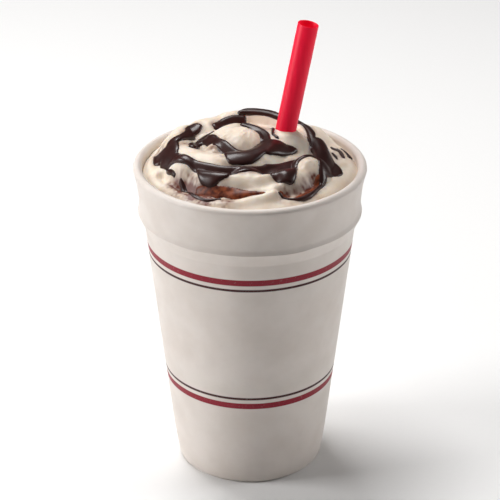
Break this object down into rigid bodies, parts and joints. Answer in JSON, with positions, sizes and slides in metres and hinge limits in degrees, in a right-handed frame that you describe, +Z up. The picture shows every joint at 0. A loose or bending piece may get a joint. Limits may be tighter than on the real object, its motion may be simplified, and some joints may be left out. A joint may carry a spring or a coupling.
{
  "type": "chocolate milkshake",
  "caption": "Swirled soft milkshake with poured chocolate fudge sauce and a leaning straw in a tapered foam cup with a collared rim and red stripes",
  "frame": {"origin": "on the ground in the middle of the cup's foot ring", "axes": "+Z up along the cup's axis, -Y towards the front, the straw leans towards +X"},
  "size_m": [0.094, 0.094, 0.1896],
  "materials": {
    "foam": "satin moulded foam with printed red stripes",
    "straw_plastic": "satin",
    "shake": "soft, slightly glossy",
    "fudge": "glossy",
    "syrup": "glossy, translucent"
  },
  "bodies": {
    "root": {"foam_cup": "foam", "straw": "straw_plastic", "shake": "shake", "fudge_front": "fudge", "fudge_heart": "fudge", "fudge_crest": "fudge", "fudge_back": "fudge", "syrup_pool": "syrup"}
  },
  "joints": []
}
